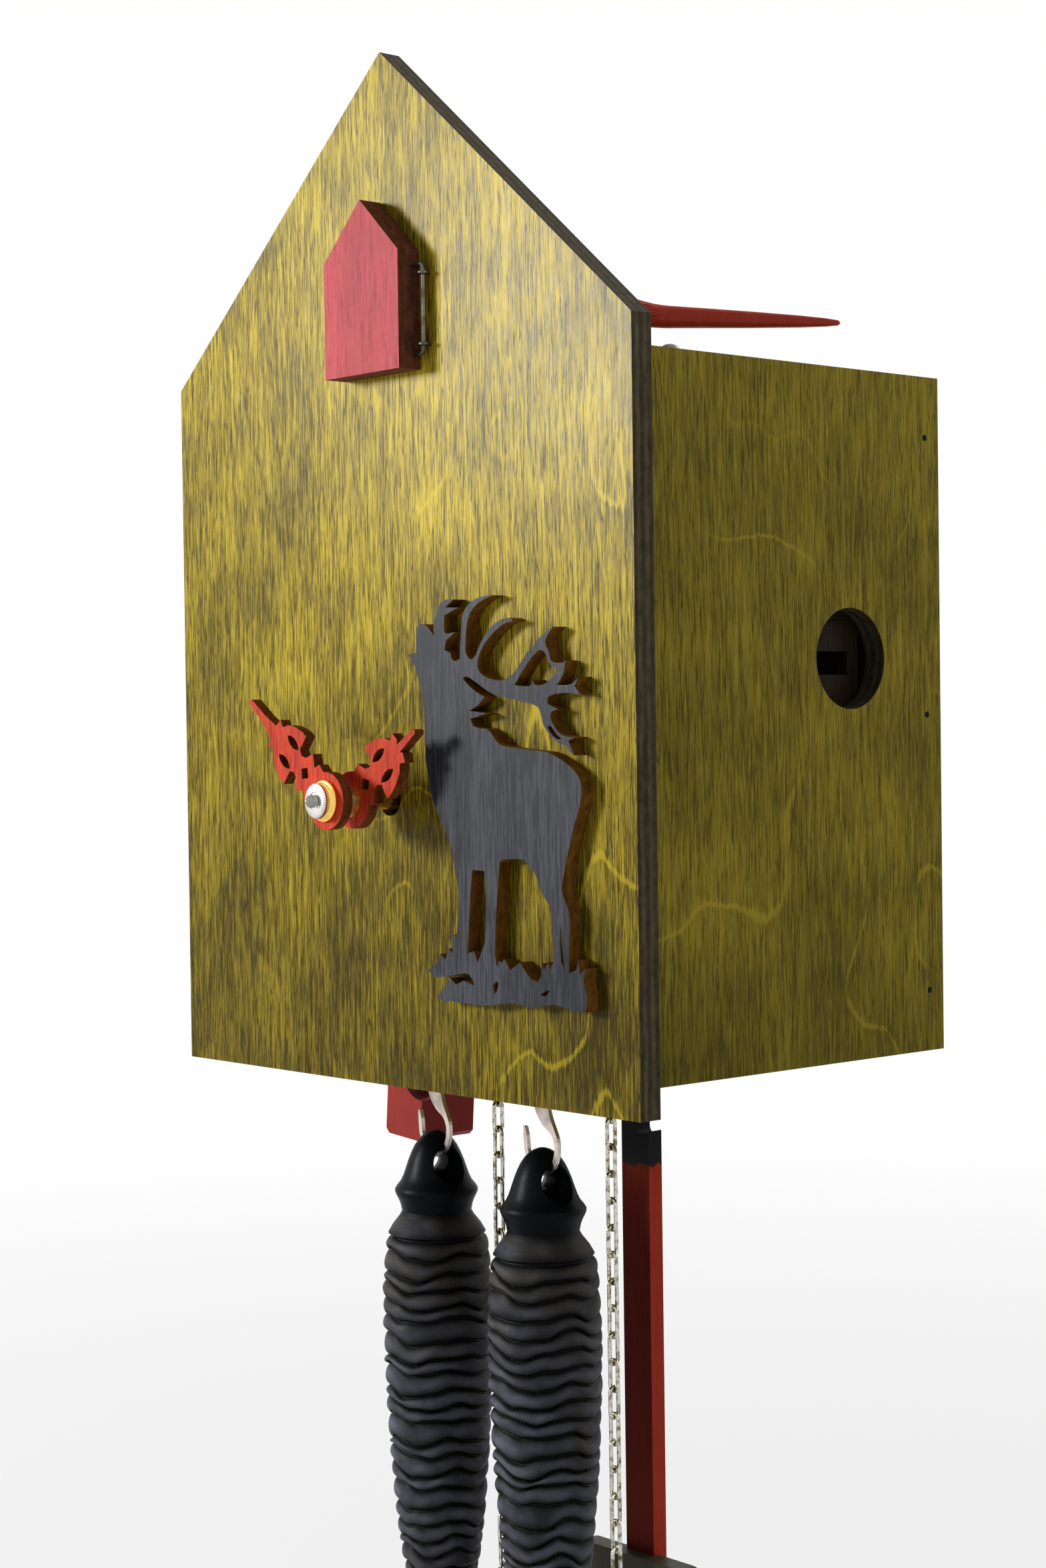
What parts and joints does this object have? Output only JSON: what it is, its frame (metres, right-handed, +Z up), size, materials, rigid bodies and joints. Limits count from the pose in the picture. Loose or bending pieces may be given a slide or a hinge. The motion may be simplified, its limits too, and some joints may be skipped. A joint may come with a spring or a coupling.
{
  "type": "cuckoo clock",
  "caption": "Wall cuckoo clock with a gabled plywood front, stag ornament, fretwork hands, a bird behind a hinged door, cone weights on link chains and a rod pendulum.",
  "frame": {"origin": "middle of the hanger hole, on the rear face of the back panel", "axes": "+Z up, +X to the right seen from the front, +Y into the wall; the dial side faces -Y"},
  "size_m": [0.185, 0.1442, 0.453],
  "materials": {
    "panel": "stained, worn",
    "case": "stained, worn",
    "door": "stained, worn",
    "stag": "stained, worn",
    "hands": "stained, worn",
    "bird": "stained, worn",
    "rod": "stained, worn",
    "bob": "stained, worn",
    "lever": "stained, worn",
    "whistle": "stained, worn",
    "back": "stained, worn",
    "dark_wire": "dark",
    "steel": "brushed",
    "nickel": "nickelled",
    "chain": "nickelled, worn",
    "hook": "flat nickel",
    "brass": "brushed",
    "brass_bright": "bright",
    "gong": "blued",
    "iron": "cast",
    "cone": "black painted",
    "cloth": "thin cloth"
  },
  "bodies": {
    "case": {"front_panel": "panel", "side_left": "case", "side_right": "case", "top_board": "case", "bottom_board": "case", "back_panel": "back", "stag": "stag", "door_eyelets": "dark_wire", "bird_bracket": "steel", "plate_front": "brass", "plate_rear": "brass", "plate_pillars": "brass", "movement_posts": "whistle", "pendulum_cock": "brass", "minute_post": "steel", "gong": "gong", "gong_block": "iron", "whistle_left": "whistle", "whistle_right": "whistle", "bellows_cloth_left": "cloth", "bellows_cloth_right": "cloth", "shutoff_pin": "steel"},
    "door_leaf": {"door": "door", "door_wire": "dark_wire"},
    "bird_on_arm": {"bird_arbor": "steel", "bird": "bird"},
    "great": {"great_wheel": "brass"},
    "centre": {"centre_wheel": "brass"},
    "third": {"third_wheel": "brass"},
    "escape": {"escape_wheel": "brass"},
    "anchor_arbor": {"anchor": "steel"},
    "strike_great": {"strike_wheel": "brass"},
    "pins": {"pin_wheel": "brass"},
    "fly_arbor": {"fly": "steel"},
    "hammer_arbor": {"hammer": "dark_wire"},
    "minute": {"minute_shaft": "nickel", "minute_hand": "hands", "hand_bush": "brass_bright", "hand_nut": "nickel"},
    "minute_wheel_body": {"minute_wheel": "brass"},
    "hour": {"hour_wheel": "brass", "hour_hand": "hands"},
    "time_load": {"time_chain": "chain", "time_hook": "hook", "time_weight": "cone"},
    "time_free": {"time_free_chain": "chain", "time_ring": "chain"},
    "strike_load": {"strike_chain": "chain", "strike_hook": "hook", "strike_weight": "cone"},
    "strike_free": {"strike_free_chain": "chain", "strike_ring": "chain"},
    "pendulum": {"pendulum_leader": "steel", "pendulum_rod": "rod"},
    "bob": {"pendulum_bob": "bob", "bob_spring": "steel"},
    "bellows_board_left": {"bellows_top_left": "whistle"},
    "bellows_board_right": {"bellows_top_right": "whistle"},
    "shutoff": {"shutoff_lever": "lever"}
  },
  "joints": [
    {"name": "bird_turn", "type": "hinge", "parent": "case", "child": "bird_on_arm", "pos_m": [0.066, -0.106, 0.036], "axis": [0, 0, 1], "range_deg": [0, 36]},
    {"name": "door_swing", "type": "hinge", "parent": "case", "child": "door_leaf", "pos_m": [0.019, -0.12, 0.04], "axis": [0, 0, 1], "range_deg": [0, 95]},
    {"name": "minute_turn", "type": "hinge", "parent": "case", "child": "minute", "pos_m": [0, -0.118, -0.085], "axis": [0, 1, 0], "continuous": true},
    {"name": "minute_wheel_turn", "type": "hinge", "parent": "case", "child": "minute_wheel_body", "pos_m": [-0.00848, -0.103, -0.09348], "axis": [0, 1, 0], "continuous": true},
    {"name": "hour_turn", "type": "hinge", "parent": "case", "child": "hour", "pos_m": [0, -0.118, -0.085], "axis": [0, 1, 0], "continuous": true},
    {"name": "time_weight_run", "type": "slide", "parent": "case", "child": "time_load", "axis": [0, 0, 1], "range_m": [-0.04123, 0.01855]},
    {"name": "time_free_run", "type": "slide", "parent": "case", "child": "time_free", "axis": [0, 0, 1], "range_m": [-0.04123, 0.04123]},
    {"name": "great_turn", "type": "hinge", "parent": "case", "child": "great", "pos_m": [0.0225, -0.078, -0.09919], "axis": [0, 1, 0], "range_deg": [-175.01, 175.01]},
    {"name": "centre_turn", "type": "hinge", "parent": "case", "child": "centre", "pos_m": [0, -0.078, -0.085], "axis": [0, 1, 0], "range_deg": [-300.01, 300.01]},
    {"name": "third_turn", "type": "hinge", "parent": "case", "child": "third", "pos_m": [0.0025, -0.063, -0.06702], "axis": [0, 1, 0], "range_deg": [-3000.01, 3000.01]},
    {"name": "escape_turn", "type": "hinge", "parent": "case", "child": "escape", "pos_m": [0, -0.058, -0.05083], "axis": [0, 1, 0], "range_deg": [-36000.01, 36000.01]},
    {"name": "strike_weight_run", "type": "slide", "parent": "case", "child": "strike_load", "axis": [0, 0, 1], "range_m": [-0.04123, 0.01855]},
    {"name": "strike_free_run", "type": "slide", "parent": "case", "child": "strike_free", "axis": [0, 0, 1], "range_m": [-0.04123, 0.04123]},
    {"name": "strike_wheel_turn", "type": "hinge", "parent": "case", "child": "strike_great", "pos_m": [-0.0225, -0.078, -0.09919], "axis": [0, 1, 0], "range_deg": [-175.01, 175.01]},
    {"name": "pin_wheel_turn", "type": "hinge", "parent": "case", "child": "pins", "pos_m": [-0.0225, -0.078, -0.07819], "axis": [0, 1, 0], "range_deg": [-700.01, 700.01]},
    {"name": "fly_turn", "type": "hinge", "parent": "case", "child": "fly_arbor", "pos_m": [-0.0225, -0.058, -0.06169], "axis": [0, 1, 0], "range_deg": [-7000.01, 7000.01]},
    {"name": "hammer_strike", "type": "hinge", "parent": "case", "child": "hammer_arbor", "pos_m": [-0.034, -0.058, -0.052], "axis": [0, 1, 0], "range_deg": [0, 14]},
    {"name": "pendulum_swing", "type": "hinge", "parent": "case", "child": "pendulum", "pos_m": [0, -0.032, -0.03528], "axis": [0, 1, 0], "range_deg": [-4, 4]},
    {"name": "anchor_rock", "type": "hinge", "parent": "case", "child": "anchor_arbor", "pos_m": [0, -0.058, -0.03528], "axis": [0, 1, 0], "range_deg": [-4, 4]},
    {"name": "bob_slide", "type": "slide", "parent": "pendulum", "child": "bob", "axis": [0, 0, 1], "range_m": [-0.01, 0.01]},
    {"name": "bellows_left_lift", "type": "hinge", "parent": "case", "child": "bellows_board_left", "pos_m": [-0.0679, -0.01, -0.0274], "axis": [-1, 0, 0], "range_deg": [0, 12]},
    {"name": "bellows_right_lift", "type": "hinge", "parent": "case", "child": "bellows_board_right", "pos_m": [0.0679, -0.01, -0.0274], "axis": [-1, 0, 0], "range_deg": [0, 12]},
    {"name": "shutoff_tilt", "type": "hinge", "parent": "case", "child": "shutoff", "pos_m": [-0.0645, -0.055, -0.15045], "axis": [0, -1, 0], "range_deg": [0, 9]}
  ],
  "couplings": [
    {"joint": "door_swing", "follows": "bird_turn", "ratio": 2.6389},
    {"joint": "minute_wheel_turn", "follows": "minute_turn", "ratio": -0.33333},
    {"joint": "hour_turn", "follows": "minute_turn", "ratio": 0.083333},
    {"joint": "time_free_run", "follows": "time_weight_run", "ratio": -1},
    {"joint": "great_turn", "follows": "time_weight_run", "rad_per_m": 74.074},
    {"joint": "centre_turn", "follows": "time_weight_run", "rad_per_m": -126.98},
    {"joint": "third_turn", "follows": "time_weight_run", "rad_per_m": 1269.8},
    {"joint": "escape_turn", "follows": "time_weight_run", "rad_per_m": -15238},
    {"joint": "strike_free_run", "follows": "strike_weight_run", "ratio": -1},
    {"joint": "strike_wheel_turn", "follows": "strike_weight_run", "rad_per_m": 74.074},
    {"joint": "pin_wheel_turn", "follows": "strike_weight_run", "rad_per_m": -296.3},
    {"joint": "fly_turn", "follows": "strike_weight_run", "rad_per_m": 2963},
    {"joint": "anchor_rock", "follows": "pendulum_swing", "ratio": 1}
  ]
}
